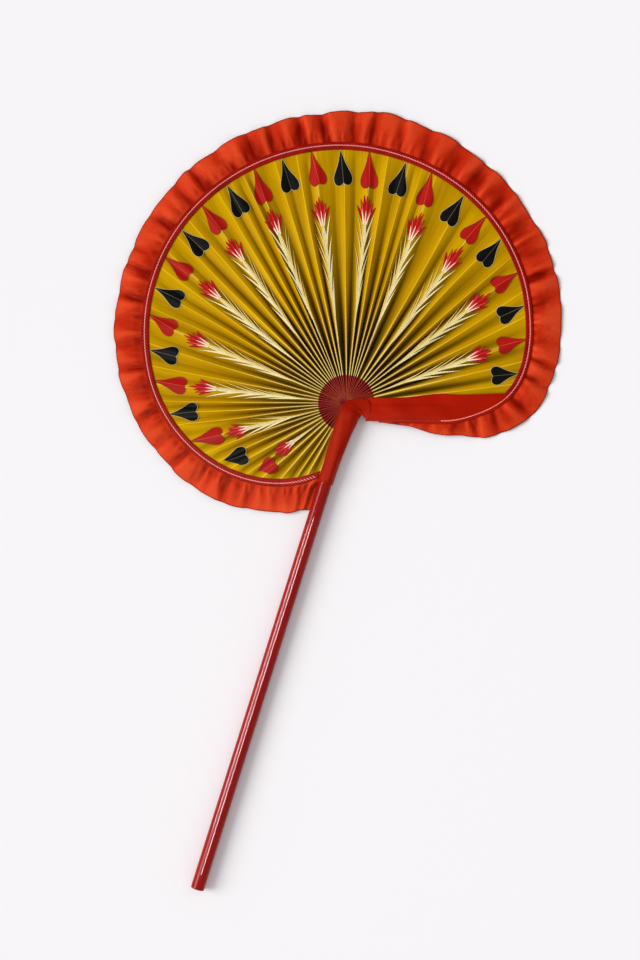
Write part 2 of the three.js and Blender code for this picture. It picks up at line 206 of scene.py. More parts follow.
bandTop = elbow + bandInward * plan["bandWidth"]
topSlope = math.radians(plan["bandTopSlope"])
bandTopNormal = np.array([-math.sin(topSlope), math.cos(topSlope)])


def bandWidthAt(distance):
    at, out = rim(distance)
    return (bandTop - at) @ bandTopNormal / -(out @ bandTopNormal)


bandPlaces = np.arange(bandRun, bandRun + 200, 0.3)
bandEnd = bandPlaces[np.argmax(bandWidthAt(bandPlaces) <= plan["tapeInside"])]


def leafHeight(radius):
    sunk = smooth(radius, plan["slopeStart"], plan["slopeEnd"])
    return mix(plan["axisHeight"], plan["rimHeight"], sunk)


def heightAt(at):
    return leafHeight(np.linalg.norm(at, axis=-1))


def leafHalf(radius):
    return mix(3, 0.8, smooth(radius, 0, 25)) / 2


def clothOutside(distance):
    return mix(plan["seamMargin"], plan["tapeOutside"], smooth(distance, 0, plan["tapeGrow"]))


# Making pieces


def switchTo(mode):
    bpy.ops.object.mode_set(mode=mode)


def deselect():
    if bpy.context.mode != "OBJECT":
        switchTo("OBJECT")
    bpy.ops.object.select_all(action="DESELECT")


def takeUp(piece):
    deselect()
    piece.select_set(True)
    bpy.context.view_layer.objects.active = piece


def toFrame(points):
    return points * mm + hub


def addObject(data, place=(0, 0, 0), turn=(0, 0, 0)):
    added = bpy.data.objects.new(data.name, data)
    added.location, added.rotation_euler = place, turn
    bpy.context.collection.objects.link(added)
    return added


def sheetPiece(name, columns, rows, shape, closed=False):
    # a grid laid by shape(u, v), which gives plan points and heights; closed joins its long sides
    deselect()
    bpy.ops.mesh.primitive_grid_add(x_subdivisions=columns, y_subdivisions=rows, size=2)
    piece = bpy.context.object
    piece.name = piece.data.name = name
    flat = np.empty(len(piece.data.vertices) * 3, np.float32)
    piece.data.vertices.foreach_get("co", flat)
    flat = flat.reshape(-1, 3)
    u, v = (flat[:, 0] + 1) / 2, (flat[:, 1] + 1) / 2
    points = toFrame(np.column_stack(shape(u.astype(float), v.astype(float))))
    piece.data.vertices.foreach_set("co", points.astype(np.float32).ravel())
    piece.data.update()
    if closed:
        switchTo("EDIT")
        bpy.ops.mesh.select_all(action="SELECT")
        bpy.ops.mesh.remove_doubles(threshold=0.000002)
        switchTo("OBJECT")
    bpy.ops.object.shade_smooth()
    return piece


def meshPiece(name, points, faces, finishes):
    mesh = bpy.data.meshes.new(name)
    mesh.from_pydata(toFrame(np.asarray(points, float)).tolist(), [], faces)
    mesh.polygons.foreach_set("material_index", finishes)
    mesh.polygons.foreach_set("use_smooth", [True] * len(mesh.polygons))
    mesh.update()
    return addObject(mesh)


def writeAttribute(piece, name, values):
    layer = piece.data.attributes.new(name, "FLOAT", "POINT")
    layer.data.foreach_set("value", np.asarray(values, np.float32))


def thicken(piece, thickness, offset, backMaterial=0):
    takeUp(piece)
    wall = piece.modifiers.new("wall", "SOLIDIFY")
    wall.thickness = thickness * mm
    wall.offset = offset
    wall.use_even_offset = False
    wall.material_offset = backMaterial
    bpy.ops.object.modifier_apply(modifier=wall.name)


def dropSelection(piece, kind):
    # nothing of the mesh is selected, and faces or edges are what is picked next
    takeUp(piece)
    switchTo("EDIT")
    bpy.ops.mesh.select_mode(type=kind)
    bpy.ops.mesh.select_all(action="DESELECT")
    switchTo("OBJECT")


def faceOutward(piece, openSides=0):
    # closes the ends that have openSides corners, and turns the skin outward
    takeUp(piece)
    switchTo("EDIT")
    bpy.ops.mesh.select_all(action="SELECT")
    if openSides:
        bpy.ops.mesh.fill_holes(sides=openSides)
    bpy.ops.mesh.normals_make_consistent(inside=False)
    switchTo("OBJECT")


def finishPiece(piece, materials, nodes=()):
    for material in materials:
        piece.data.materials.append(material)
    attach(piece, "root")
    if nodes:
        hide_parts(*nodes)


def clothArea(piece):
    # half of the closed sheet's surface, in square metres
    return sum(face.area for face in piece.data.polygons) / 2


# Shader maths


class Wire:
    def __init__(self, tree, socket=None):
        self.tree = tree
        self.socket = socket

    def add(self, kind, settings=None, sockets=None, out=0):
        node = self.tree.nodes.new("ShaderNode" + kind)
        for name, value in (settings or {}).items():
            setattr(node, name, value)
        for name, value in (sockets or {}).items():
            if isinstance(value, Wire):
                self.tree.links.new(value.socket, node.inputs[name])
            else:
                node.inputs[name].default_value = value
        return Wire(self.tree, node.outputs[out])

    def sum(self, operation, first, second=0.0, clamp=False):
        return self.add("Math", {"operation": operation, "use_clamp": clamp}, {0: first, 1: second})

    def __add__(self, other): return self.sum("ADD", self, other)
    def __radd__(self, other): return self.sum("ADD", other, self)
    def __sub__(self, other): return self.sum("SUBTRACT", self, other)
    def __rsub__(self, other): return self.sum("SUBTRACT", other, self)
    def __mul__(self, other): return self.sum("MULTIPLY", self, other)
    def __rmul__(self, other): return self.sum("MULTIPLY", other, self)
    def __truediv__(self, other): return self.sum("DIVIDE", self, other)

    def wave(self): return self.sum("SINE", self)
    def clamp(self): return self.sum("ADD", self, 0.0, clamp=True)

    def rise(self, low, high):
        # 0 below low, 1 above high, soft between
        soft = {"interpolation_type": "SMOOTHSTEP"}
        return self.add("MapRange", soft, {0: self, 1: low, 2: high})

    def axis(self, k):
        return self.add("SeparateXYZ", None, {0: self}, out=k)

    def tint(self, factor, *colours):
        # from the first colour to the second; each is a wire or red, green and blue
        first, second = (c if isinstance(c, Wire) else srgb(*c) for c in colours)
        return self.add("Mix", {"data_type": "RGBA"}, {0: factor, 6: first, 7: second}, out=2)


def srgb(red, green, blue):
    # the renderer's colour for red, green and blue from 0 to 255
    def linear(value):
        value /= 255
        return value / 12.92 if value <= 0.04045 else ((value + 0.055) / 1.055) ** 2.4

    return linear(red), linear(green), linear(blue), 1.0


def startMaterial(name, **constants):
    material = bpy.data.materials.new(name)
    material.use_nodes = True
    tree = material.node_tree
    shader = tree.nodes["Principled BSDF"]
    for socket, value in constants.items():
        shader.inputs[socket.replace("_", " ")].default_value = value
    return material, Wire(tree)


def endMaterial(material, colour, roughness, normal=None):
    # joins the wires to the shader
    shader = material.node_tree.nodes["Principled BSDF"]
    for wire, socket in ((colour, "Base Color"), (roughness, "Roughness"), (normal, "Normal")):
        if wire:
            material.node_tree.links.new(wire.socket, shader.inputs[socket])
    return material


def uvOf(start):
    return start.add("UVMap")


def attributeOf(start, name):
    return start.add("Attribute", {"attribute_name": name}, None, out=2)


def ramp(start, factor, *stops):
    # through the colours, each with the factor's value where it stands
    wire = start.add("ValToRGB", None, {0: factor})
    elements = wire.socket.node.color_ramp.elements
    elements.remove(elements[1])
    elements[0].position, elements[0].color = stops[0][0], srgb(*stops[0][1])
    for place, colour in stops[1:]:
        elements.new(place).color = srgb(*colour)
    return wire


def placeOf(start):
    return start.add("TexCoord", None, None, out=3)


def stretched(start, vector, x, y, z=1.0):
    return start.add("VectorMath", {"operation": "MULTIPLY"}, {0: vector, 1: (x, y, z)})


def noise(start, vector, scale, detail=2.0):
    return start.add("TexNoise", None, {"Vector": vector, "Scale": scale, "Detail": detail})


def bump(start, height, distance, strength=1.0, normal=None):
    sockets = {"Strength": strength, "Distance": distance, "Height": height}
    if normal:
        sockets["Normal"] = normal
    return start.add("Bump", None, sockets)


# Light, floor and camera

studio = {
    "ambient": 0.5, "ambientTint": (1, 0.99, 1, 1), "sunStrength": 2.34, "sunSpread": 38,
    "sunHeight": 38, "sunBearing": 192, "sunPlace": (-0.8, 0.6, 1.5),
    "gleamPower": 8.0, "gleamSize": (0.085, 0.64), "gleamAlong": -0.3,
    "gleams": [(0.072, 0.45), (0.68, 0.42)],
    "floor": (252, 250, 252), "floorSize": 12, "floorDrop": 0.0002,
    "cameraPlace": (-2.9, -100.9, 3000), "lean": 17.5, "lens": 60, "sensor": 24,
}


def makeStudio():
    scene = bpy.context.scene
    scene.view_settings.view_transform = "Standard"
    world = bpy.data.worlds.new("studio")
    scene.world = world
    world.use_nodes = True
    back = world.node_tree.nodes["Background"]
    back.inputs["Color"].default_value = studio["ambientTint"]
    back.inputs["Strength"].default_value = studio["ambient"]

    sun = bpy.data.lights.new("key", "SUN")
    sun.energy = studio["sunStrength"]
    sun.angle = math.radians(studio["sunSpread"])
    tilt = math.radians(90 - studio["sunHeight"])
    addObject(sun, studio["sunPlace"], (0, tilt, math.radians(studio["sunBearing"])))

    # two lamps beside the stick and above it, for the two lines of its gloss
    for number, (aside, height) in enumerate(studio["gleams"]):
        gleam = bpy.data.lights.new("gleam_%d" % (number + 1), "AREA")
        gleam.shape = "RECTANGLE"
        gleam.size, gleam.size_y = studio["gleamSize"]
        gleam.energy = studio["gleamPower"]
        place = (hub[0] + plan["rodOffset"] * mm - aside, studio["gleamAlong"], height)
        gleamObject = addObject(gleam, place, (0, -math.atan2(aside, height), 0))
        gleamObject.visible_camera = gleamObject.visible_diffuse = False

    deselect()
    bpy.ops.mesh.primitive_plane_add(
        size=studio["floorSize"], location=(hub[0], hub[1], -studio["floorDrop"]))
    floor = bpy.context.object
    floor.name = "floor"
    material, _ = startMaterial(
        "floorPaper", Roughness=0.9, Base_Color=srgb(*studio["floor"]), Specular_IOR_Level=0.1)
    floor.data.materials.append(material)

    camera = bpy.data.cameras.new("photoView")
    camera.sensor_fit = "VERTICAL"
    camera.sensor_height = studio["sensor"]
    camera.lens = studio["lens"]
    place = hub + np.array(studio["cameraPlace"]) * mm
    scene.camera = addObject(camera, place, (0, 0, math.radians(studio["lean"])))


makeStudio()
print("studio ready")

# Leaf

leaf = {
    "pleats": 48, "crowding": 0.2, "columns": 768, "rows": 52, "thickness": 0.45, "gather": 0.72,
    "rise": 4.2, "growTo": 105, "rimFade": 12, "neckFade": 6, "neckRadius": 9.8, "bandFade": 7,
    "rowBias": 0.85, "hole": 2, "inset": 0.4, "lean": 17.5, "spanInside": 16.3,
    "hubPaint": (36.2, 37.2),
    "plumeTurns": [
        54.4, 76.0, 96.4, 112.8, 129.7, 144.1, 158.3, 172.4, 185.8, 201.3, 216.3, 232.4, 249.9],
    "coverStart": (-282.0, -112.0), "coverSteps": (1050, 880), "coverStep": 0.5,
}
ribEnd = elbow + bandDirection * bandRun + bandInward * leaf["spanInside"]
leafSpan = float(leafAngle(ribEnd))


def pleatTurn(share):
    return leafSpan * (share + leaf["crowding"] * np.sin(2 * math.pi * share) / (2 * math.pi))


def bendOf(share, out):
    # the pleats wander sideways a little on their way to the rim
    free = np.clip(np.minimum(share, 1 - share) * 24, 0, 1)
    return leafSpan / leaf["pleats"] * free * (
        0.12 * smooth(out, 0.55, 1) * np.sin(1.3 * leaf["pleats"] * share)
        + 0.1 * np.sin(math.pi * out) * np.sin(0.7 * leaf["pleats"] * share + 2))


shareTable = np.linspace(0, 1, 8001)
turnTable = pleatTurn(shareTable)
countTable = shareTable * leaf["pleats"]
# pleats passed so far: hand-laid pleats aren't even
phaseTable = countTable + 0.09 * np.sin(2.1 * countTable + 1) \
    + 0.06 * np.sin(3.9 * countTable + 2.2) + 0.05 * np.sin(0.9 * countTable)
phaseTable = (phaseTable - phaseTable[0]) / (phaseTable[-1] - phaseTable[0]) * leaf["pleats"]
# and each plume runs along a ridge
plumeAngles = np.radians(np.array(leaf["plumeTurns"]) - leaf["lean"])
plumeShares = np.interp(plumeAngles, turnTable, shareTable)
plumePhases = np.interp(plumeShares, shareTable, phaseTable)
plumeShifts = np.round(plumePhases - 0.5) + 0.5 - plumePhases
phaseTable = phaseTable + np.interp(shareTable, [0, *plumeShares, 1], [0, *plumeShifts, 0])
# the grid's columns gather at the creases
gathered = countTable - leaf["gather"] * np.sin(4 * math.pi * countTable) / (4 * math.pi)
gridTable = np.interp(gathered, phaseTable, shareTable)


def distanceToNeck(at):
    past = np.maximum(0, at[..., 1] + plan["rodTopBelowHub"])
    return np.hypot(at[..., 0] - plan["rodOffset"], past) - leaf["neckRadius"]


def distanceToBand(at):
    away = at - bandTop
    share = np.clip(at @ bandTop / (bandTop @ bandTop), 0, 1)
    near = np.linalg.norm(at - share[..., None] * bandTop, axis=-1)
    return np.where(away[..., 0] > 0, away @ bandTopNormal, near)


def leafShape(share, angle, radius):
    # height of the leaf's middle, and 1 on a ridge to -1 in a valley
    at = leafDirection(angle) * radius[..., None]
    outer = rimRadius(angle)
    reach = np.minimum(1, radius / outer)
    count = share * leaf["pleats"]
    phase = np.interp(share, shareTable, phaseTable)
    ridge = np.arcsin(0.998 * -np.cos(2 * math.pi * phase)) / math.asin(0.998)
    fromRim = outer - radius - plan["tapeInside"]
    free = smooth(fromRim, -1, leaf["rimFade"]) \
        * smooth(distanceToNeck(at), 0, leaf["neckFade"]) \
        * smooth(distanceToBand(at) - np.minimum(3, radius / 8), 0, leaf["bandFade"])
    strong = 1 + 0.2 * np.sin(1.7 * count + 0.5) + 0.12 * np.sin(4.3 * count)
    fold = leaf["rise"] * smooth(radius, 0, leaf["growTo"]) * (1 - reach**2) ** 0.62 * strong
    fold = fold + 0.35 * smooth(reach, 0.7, 1)
    half = np.arcsin(0.97 * np.sin(4 * math.pi * phase + 1.6 * np.sin(1.9 * count))) / 1.33
    crease = 0.3 * smooth(reach, 0.45, 0.9) * half
    small = np.sin(9.7 * count + 3 * np.sin(0.8 * count))
    crease = crease + 0.1 * smooth(reach, 0.6, 0.95) * small
    return leafHeight(radius) + free * (fold * ridge + crease), ridge


def leafGrid(u, v):
    # share, angle and radius of the leaf's own grid
    share = np.interp(u, shareTable, gridTable)
    out = v ** leaf["rowBias"]
    angle = pleatTurn(share) + bendOf(share, out)
    return share, angle, mix(leaf["hole"], rimRadius(angle) - leaf["inset"], out)


# the painted side's heights on the leaf's own grid, which the motifs are laid on
gridPlaces = (np.linspace(0, 1, leaf[side] + 1) for side in ("columns", "rows"))
gridShare, gridTurn, gridRadius = leafGrid(*np.meshgrid(*gridPlaces, indexing="ij"))
gridTop, _ = leafShape(gridShare, gridTurn, gridRadius)
gridSlope = np.gradient(gridTop, axis=0) / (np.gradient(gridTurn, axis=0) * gridRadius)
gridTop = gridTop + leaf["thickness"] / 2 * np.sqrt(1 + gridSlope**2)


def readGrid(grid, i, j):
    # the value between a grid's points
    i0 = np.minimum(i.astype(int), grid.shape[0] - 2)
    j0 = np.minimum(j.astype(int), grid.shape[1] - 2)
    low, high = (mix(grid[i0, j0 + k], grid[i0 + 1, j0 + k], i - i0) for k in (0, 1))
    return mix(low, high, j - j0)


def leafTop(at):
    # height of the painted side at plan points
    angle = leafAngle(at)
    reach = rimRadius(angle) - leaf["inset"] - leaf["hole"]
    out = np.clip((np.linalg.norm(at, axis=-1) - leaf["hole"]) / reach, 0, 1)
    share = np.interp(angle, turnTable, shareTable)
    for _ in range(3):
        share = np.interp(angle - bendOf(share, out), turnTable, shareTable)
    column = np.interp(share, gridTable, shareTable) * leaf["columns"]
    return readGrid(gridTop, column, out ** (1 / leaf["rowBias"]) * leaf["rows"])


# a softened cover of the painted side that no ridge pokes through
coverSteps = np.stack(np.meshgrid(*(np.arange(n) for n in leaf["coverSteps"]), indexing="ij"), -1)
cover = leafTop(leaf["coverStart"] + leaf["coverStep"] * coverSteps)
for axis in (0, 1):
    cover = np.max([np.roll(cover, k, axis) for k in (-2, -1, 0, 1, 2)], axis=0)
for axis in (0, 1, 0, 1):
    cover = (np.roll(cover, 1, axis) + 2 * cover + np.roll(cover, -1, axis)) / 4


def leafCover(at):
    return readGrid(cover, *np.moveaxis((at - leaf["coverStart"]) / leaf["coverStep"], -1, 0))


def leafPaint():
    material, start = startMaterial(
        "leafPaint", Specular_IOR_Level=0.2, Specular_Tint=(1, 0.7, 0.02, 1))
    uv = uvOf(start)
    place = placeOf(start)
    level = stretched(start, place, 1, 1, 0)
    away = start.add("VectorMath", {"operation": "DISTANCE"}, {0: level, 1: tuple(hub)}, out=1) / mm
    fibre = noise(start, stretched(start, uv, 900, 5), 1, 3)
    bands = noise(start, stretched(start, uv, 60, 1.6), 1, 2)
    patches = noise(start, place, 14, 2)
    paint = ramp(
        start, bands * 0.55 + fibre * 0.3 + patches * 0.15,
        (0.25, (164, 117, 0)), (0.5, (196, 147, 0)), (0.75, (222, 174, 0)))
    up = attributeOf(start, "ridge") * 0.5 + 0.5
    down = 1 - up
    near = 1 - away.rise(50, 170)
    middle = 1 - away.rise(110, 310)
    # how strong the painted valley shade is, by how the light falls across the pleats
    dusk = attributeOf(start, "dusk")
    # painted shade in the valleys, then painted highlights on the ridges' crowns and thin pale
    # crests
    # the crowns and crests below are painted highlights on the ridges
    crown = (1 - down * away / 10.5).clamp()
    crestHighlight = (1 - down * away / 5.4).clamp()
    for share, colour in (
            (down.rise(0.2, 0.95) * (0.2 + 0.62 * middle) * dusk, (50, 28, 0)),
            (down.rise(0.06, 0.45) * near * (0.34 + 0.58 * dusk), (20, 9, 0)),
            (crown * 0.65, (250, 211, 46)),
            (crown * near * 0.4, (226, 190, 84)),
            (crestHighlight * near * 0.9, (250, 234, 168))):
        paint = start.tint(share, paint, colour)
    # the hub's dark red paint, with a painted highlight on its ridge tops
    hubTone = start.tint(up.rise(0.8, 1.0), (92, 0, 8), (186, 46, 64))
    edge = away + noise(start, stretched(start, uv, 300, 1), 1) * 2.4
    paint = start.tint(1 - edge.rise(*leaf["hubPaint"]), paint, hubTone)
    return endMaterial(material, paint, 0.36 + 0.22 * fibre, bump(start, fibre, 0.00022, 0.7))


def leafUnderside():
    material, start = startMaterial("bareLeaf", Specular_IOR_Level=0.3)
    uv = uvOf(start)
    fibre = noise(start, stretched(start, uv, 1100, 5), 1, 3)
    bands = noise(start, stretched(start, uv, 90, 1.4), 1, 2)
    tone = ramp(
        start, bands * 0.5 + fibre * 0.5,
        (0.25, (150, 128, 74)), (0.55, (190, 168, 106)), (0.8, (212, 194, 136)))
    up = attributeOf(start, "ridge") * 0.5 + 0.5
    # painted shade in the underside's valleys, which lie under the front's ridges
    tone = start.tint(up.rise(0.6, 1.0) * 0.5, tone, (112, 88, 40))
    return endMaterial(material, tone, 0.5 + 0.2 * fibre, bump(start, fibre, 0.0003, 0.7))


def makeLeaf():
    facts = {}

    def shape(u, v):
        share, angle, radius = leafGrid(u, v)
        height, facts["ridge"] = leafShape(share, angle, radius)
        # the painted shade between the ridges is weaker on the lower left, where the light runs
        # along the pleats
        facts["dusk"] = 1 - 0.55 * (1 - smooth(np.degrees(angle) + leaf["lean"], 95, 150))
        return leafDirection(angle) * radius[..., None], height

    piece = sheetPiece("pleated_leaf", leaf["columns"], leaf["rows"], shape)
    for name, values in facts.items():
        writeAttribute(piece, name, values)
    thicken(piece, leaf["thickness"], 0, backMaterial=1)
    finishPiece(piece, [leafPaint(), leafUnderside()], ["leaf_blade"])


makeLeaf()
print("leaf made")

# Painted hearts and plumes

hearts = {
    "halfWidth": (10.6, 11.8), "lift": 0.2, "edge": (0.4, 0.3), "vein": 0.26, "underTape": 0.7,
    "rows": 31, "columns": 12,
    # turn and distance from the hub of each heart's round end, and the degrees that it leans
    "red": [
        (50.5, 115.1, 4.7), (75.9, 159.1, 2.1), (96, 201.3, 4.6), (112.9, 232.6, 10.2),
        (129.2, 252.1, -2.5), (144.2, 265, -2.4), (158.1, 269.8, 3.2), (173, 274.4, -7.4),
        (186, 269.7, -5.6), (201.2, 264.4, -6.9), (215.9, 250.7, 5.6), (231.8, 233.2, 6.6),
        (249.4, 201.5, 5.8)],
    "black": [
        (63, 138.4, 8.9), (87, 185.5, -3), (105.4, 217.9, -1.1), (121.9, 240.4, -5.6),
        (137, 257.8, -3.8), (151.5, 267.8, -1.2), (165.6, 272.7, -3), (179.3, 271.6, -4.6),
        (193.2, 266.2, 4.6), (208.8, 256, 4.3), (223.9, 241.7, -4.5), (240.5, 217.5, 5.1),
        (259.3, 183.2, 5.1)],
    "halfOutline": [
        (0, 0), (0.12, 0.1), (0.25, 0.24), (0.44, 0.4), (0.69, 0.55), (0.93, 0.7),
        (1.0, 0.81), (0.92, 0.92), (0.66, 0.99), (0.35, 0.99), (0.12, 0.96), (0, 0.925)],
    "paints": {
        "heartRed": ((166, 12, 8), (186, 24, 16)),
        "heartBlack": ((2, 3, 2), (12, 14, 10)),
        "heartRedEdge": ((130, 18, 10), (160, 60, 14)),
        "heartBlackEdge": ((214, 196, 120), (190, 160, 70)),
        "redVein": ((212, 96, 56), (200, 84, 44)),
        "blackVein": ((120, 112, 84), (84, 80, 64)),
    },
}
plumes = {
    "tops": [
        109.4, 155.2, 194.5, 219, 239.5, 254.5, 262, 259.2, 260.8, 255.6, 241.1, 223.8, 193.6],
    "brush": [(54, 23), (130, 29), (172, 31), (215, 33), (249, 29)],
    "spread": [(54, 9.5), (130, 11), (215, 12), (249, 11.5)],
    "down": 150, "low": 48, "strands": 3, "lift": 0.18, "flatten": 5,
    "stem": (0.35, 2.7), "barbLength": 48,
    "litBarbs": [-8, 16, 42, 68], "dimBarbs": [-9, 8, 26, 46, 66],
    "reach": [(-10, 11.6), (10, 11.4), (25, 10.6), (40, 9), (60, 6), (80, 4)],
    "seed": 11, "stemSteps": 14, "strandSteps": 90, "points": 7, "sideTurn": 165,
    "paints": {
        "plumeCream": ((255, 246, 196), (253, 232, 156)),
        "plumeShade": ((62, 34, 0), (96, 60, 2)),
        "plumeRed": ((206, 26, 26), (222, 54, 46)),
        "plumeCrimson": ((160, 6, 10), (190, 18, 20)),
        "plumePale": ((255, 246, 216), (252, 228, 190)),
        "plumeGold": ((248, 222, 132), (234, 198, 96)),
        "plumePink": ((234, 96, 88), (220, 54, 50)),
        "plumeBrown": ((112, 72, 10), (84, 50, 0)),
    },
}


def wayOut(turn):
    # outward and sideways from the hub, for a turn in degrees as the photo shows it
    out = leafDirection(np.radians(turn - leaf["lean"]))
    return out, np.array([out[1], -out[0]])


class Strokes:
    # paint strokes on the leaf, gathered into one mesh
    def __init__(self):
        self.points, self.faces, self.finishes, self.count = [], [], [], 0

    def grid(self, at, lift, finishes):
        # at: rows by columns of plan points; finishes: one paint for all or one for each strip
        rows, columns = at.shape[:2]
        height = leafCover(at) + lift
        self.points.append(np.concatenate([at, height[..., None]], -1).reshape(-1, 3))
        finishes = np.broadcast_to(finishes, columns - 1).tolist()
        for i in range(rows - 1):
            for j in range(columns - 1):
                a = self.count + i * columns + j
                self.faces.append((a, a + 1, a + columns + 1, a + columns))
                self.finishes.append(finishes[j])
        self.count += rows * columns

    def line(self, middle, halfWidth, lift, finishes, steps=(-1, 0, 1)):
        along = np.gradient(middle, axis=0)
        along /= np.linalg.norm(along, axis=1, keepdims=True)
        side = np.stack([along[:, 1], -along[:, 0]], -1) * halfWidth[:, None]
        self.grid(np.stack([middle + side * step for step in steps], 1), lift, finishes)

    def piece(self, name):
        # the faces that look down are turned over
        points = np.concatenate(self.points)
        faces = []
        for face in self.faces:
            a, b, c = (points[k] for k in face[:3])
            up = (b[0] - a[0]) * (c[1] - a[1]) - (b[1] - a[1]) * (c[0] - a[0])
            faces.append(face if up > 0 else face[::-1])
        return meshPiece(name, points, faces, self.finishes)


def paintTones(paints):
    materials = []
    for name, colours in paints.items():
        material, start = startMaterial(name, Specular_IOR_Level=0.06)
        place = placeOf(start)
        brush = noise(start, place, 420, 3)
        pools = noise(start, place, 60, 2)
        tone = start.tint(brush * 0.5 + pools * 0.5, *colours)
        grain = bump(start, brush, 0.00012, 0.5)
        materials.append(endMaterial(material, tone, 0.5 + 0.2 * brush, grain))
    return materials


def makeHearts():
    strokes = Strokes()
    rows = hearts["rows"]
    bare = curveThrough(hearts["halfOutline"], np.linspace(0, 1, rows))
    bare[0] = (0, 0)
    bare[:, 0] = np.maximum(bare[:, 0], 0)
    spread = np.linspace(0, 1, hearts["columns"])
    inside = plan["tapeInside"] - hearts["underTape"]
    for finish, places in ((0, hearts["red"]), (1, hearts["black"])):
        for turn, reach, tilt in places:
            foot = wayOut(turn)[0] * reach
            out, side = wayOut(turn + tilt)
            # the tip ends just under the tape
            tip = foot + out * 40
            for _ in range(3):
                tip = tip + out * (rimRadius(leafAngle(tip)) - inside - np.linalg.norm(tip))
            outline = bare * (hearts["halfWidth"][finish], np.linalg.norm(tip - foot))
            spine = np.column_stack([np.zeros(rows), np.linspace(0, outline[-1, 1], rows)])
            for hand in (-1, 1):
                local = mix(spine[:, None], outline[:, None], spread[None, :, None])
                at = tip - out * local[..., 1:] + side * local[..., :1] * hand
                strokes.grid(at, hearts["lift"], finish)
                edge = np.full(rows, hearts["edge"][finish])
                strokes.line(at[:, -1], edge, hearts["lift"] + 0.1, 2 + finish)
            down = np.linspace(2, outline[-1, 1] + 1, rows - 1)[:, None]
            vein = np.full(rows - 1, hearts["vein"])
            strokes.line(tip - out * down, vein, hearts["lift"] + 0.08, 4 + finish)
    finishPiece(strokes.piece("painted_hearts"), paintTones(hearts["paints"]))


def makePlumes():
    strokes = Strokes()
    chance = np.random.default_rng(plumes["seed"])
    t = np.linspace(0, 1, 24)
    for turn, top, (_, heartFoot, _) in zip(leaf["plumeTurns"], plumes["tops"], hearts["red"]):
        out, side = wayOut(turn)

        def leafPlace(across, radius):
            return out * np.asarray(radius)[..., None] + side * np.asarray(across)[..., None]

        stem = np.linspace(heartFoot + 2, top - 6, plumes["stemSteps"])
        strokes.line(leafPlace(0 * stem, stem), 0 * stem + 0.3, plumes["lift"], 5)
        brushLength = table(plumes["brush"], turn)
        brushBase = top - brushLength
        low = max(plumes["low"], brushBase - plumes["down"])
        lift = plumes["lift"]
        lit = -1 if turn < plumes["sideTurn"] else 1  # the side with the stronger barbs

        # the stem: light strands with brown lines between them
        down = np.linspace(0, 1, plumes["strandSteps"])
        radius = mix(low, brushBase + 5, down)
        wide = mix(*plumes["stem"], down**1.1)
        steps, paints = [-1], []
        for k in range(plumes["strands"]):
            steps += [steps[-1] + 0.54, steps[-1] + 0.68]
            paints += [(0, 0, 5)[k if lit < 0 else 2 - k], 7]
        steps, paints = np.array(steps[:-1]) / 0.95 + 0.05 / 0.95, paints[:-1]
        thick = wide * np.minimum(1, 7 * (1.02 - down))
        strokes.line(leafPlace(0 * down, radius), thick, lift + 0.1, paints, steps)

        # barbs that leave the stem and curve away from it
        for hand, places in ((lit, plumes["litBarbs"]), (-lit, plumes["dimBarbs"])):
            for place in places:
                end = brushBase - place + chance.uniform(-3, 3)
                root = end - plumes["barbLength"] * chance.uniform(0.9, 1.1)
                if root < low + 4:
                    continue
                edge = np.interp((root - low) / (brushBase - low), down, wide)
                tip = table(plumes["reach"], place) * chance.uniform(0.88, 1.08)
                across = hand * mix(edge * 0.5, tip, t**1.6)
                width = (0.5 + 0.5 * np.sin(math.pi * t**0.8)) * (1 - t**4)
                width = width * (1.25 if hand == lit else 0.75)
                paints = (1, 0, 0, 5) if hand == lit else (1, 5, 5, 7)
                steps = np.array((-1.25, -0.9, 0, 0.85, 1)) * hand
                strokes.line(leafPlace(across, mix(root, end, t)), width, lift, paints, steps)

        # the brush: crimson points, pink between them and white out of its base
        full = np.sin(math.pi * np.clip(0.25 + 0.75 * t, 0, 1)) ** 0.75
        spread = table(plumes["spread"], turn)
        for k in range(plumes["points"]):
            lean = 2 * k / (plumes["points"] - 1) - 1
            length = brushLength * (1 - 0.3 * abs(lean) ** 1.4) * chance.uniform(0.84, 1.04)
            across = lean * mix(2.0, spread, t**1.1) + chance.uniform(-0.6, 0.6) * t
            radius = brushBase + 3 - 4 * abs(lean) + length * t
            strokes.line(leafPlace(across, radius), 2.0 * full, lift + 0.2, 3)
            if k % 2:
                paint = 2 if lean == 0 else 6
                strokes.line(leafPlace(across * 0.92, radius - 1.5), 0.8 * full, lift + 0.3, paint)
        for k in range(3):
            length = brushLength * (0.56 - 0.08 * (k % 2)) * chance.uniform(0.9, 1.1)
            radius = brushBase - 2 - 3 * abs(k - 1) + length * t
            across = (k - 1) * mix(1.6, 0.5 * spread, t**1.15)
            strokes.line(leafPlace(across, radius), 0.85 * (1 - t**2) ** 0.8, lift + 0.4, 4)
    piece = strokes.piece("painted_plumes")
    # thick paint fills the creases, so its shading is flatter than the leaf's
    normals = np.array([vertex.normal[:] for vertex in piece.data.vertices])
    normals = normals + (0, 0, plumes["flatten"])
    normals /= np.linalg.norm(normals, axis=1, keepdims=True)
    piece.data.normals_split_custom_set_from_vertices(normals)
    finishPiece(piece, paintTones(plumes["paints"]))


makeHearts()
makePlumes()
print("painted motifs made")

# Ruffle

